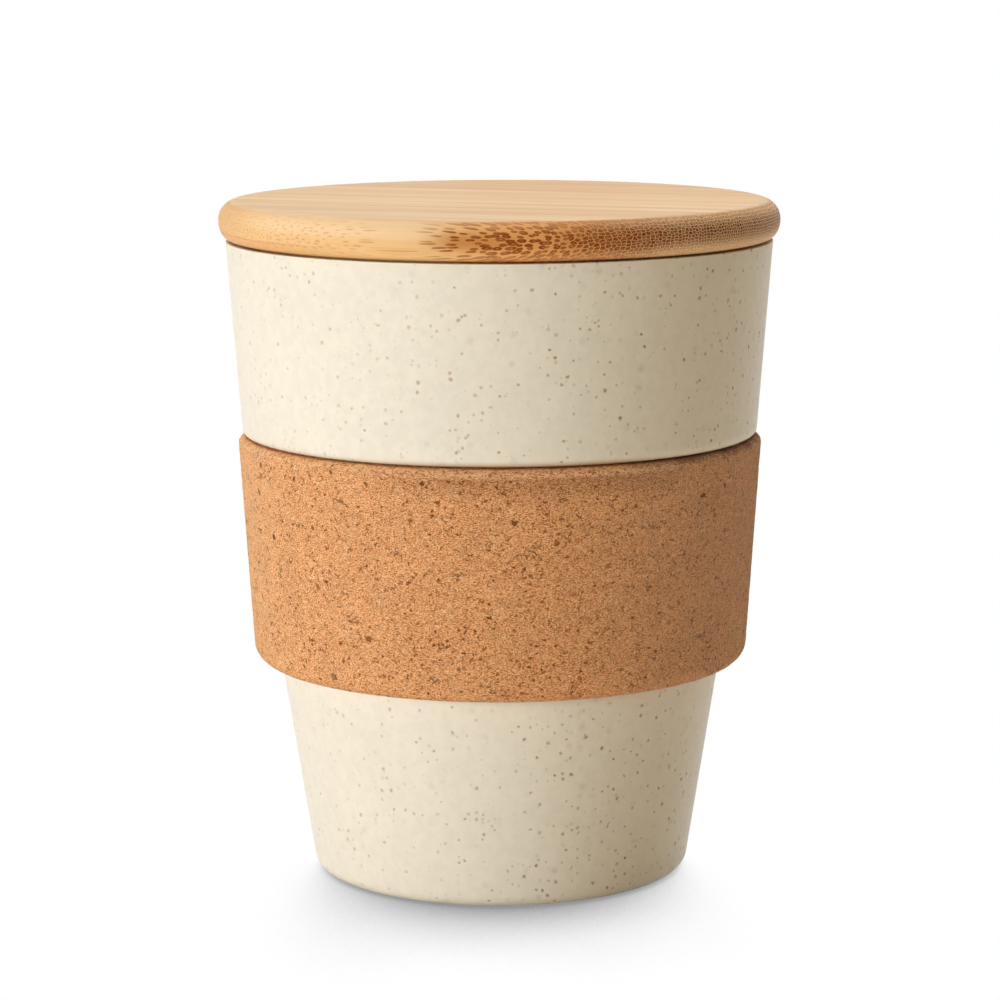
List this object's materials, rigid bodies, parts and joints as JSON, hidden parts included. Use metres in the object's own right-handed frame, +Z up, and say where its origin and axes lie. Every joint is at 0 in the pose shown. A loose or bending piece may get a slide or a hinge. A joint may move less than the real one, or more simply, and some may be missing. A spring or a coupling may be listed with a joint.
{
  "type": "lidded cup",
  "caption": "Handleless tapered cup of speckled straw plastic with a slip-on cork sleeve round its middle and a round bamboo lid whose plug seals in the mouth.",
  "frame": {"origin": "centre of the foot ring, on the surface that the cup stands on", "axes": "+Z up along the cup's axis, which every piece is turned about; the picture looks along +Y, with +X to its right"},
  "size_m": [0.092, 0.092, 0.1114],
  "materials": {
    "straw_plastic": "satin",
    "cork": "matte",
    "bamboo": "satin",
    "silicone": "satin"
  },
  "bodies": {
    "cup": {"cup_body": "straw_plastic"},
    "sleeve": {"cork_sleeve": "cork"},
    "lid": {"bamboo_lid": "bamboo", "lid_seal": "silicone"}
  },
  "joints": [
    {"name": "lid_lift", "type": "slide", "parent": "cup", "child": "lid", "axis": [0, 0, 1], "range_m": [0, 0.06]},
    {"name": "sleeve_slide", "type": "slide", "parent": "cup", "child": "sleeve", "axis": [0, 0, -1], "range_m": [0, 0.035]}
  ]
}
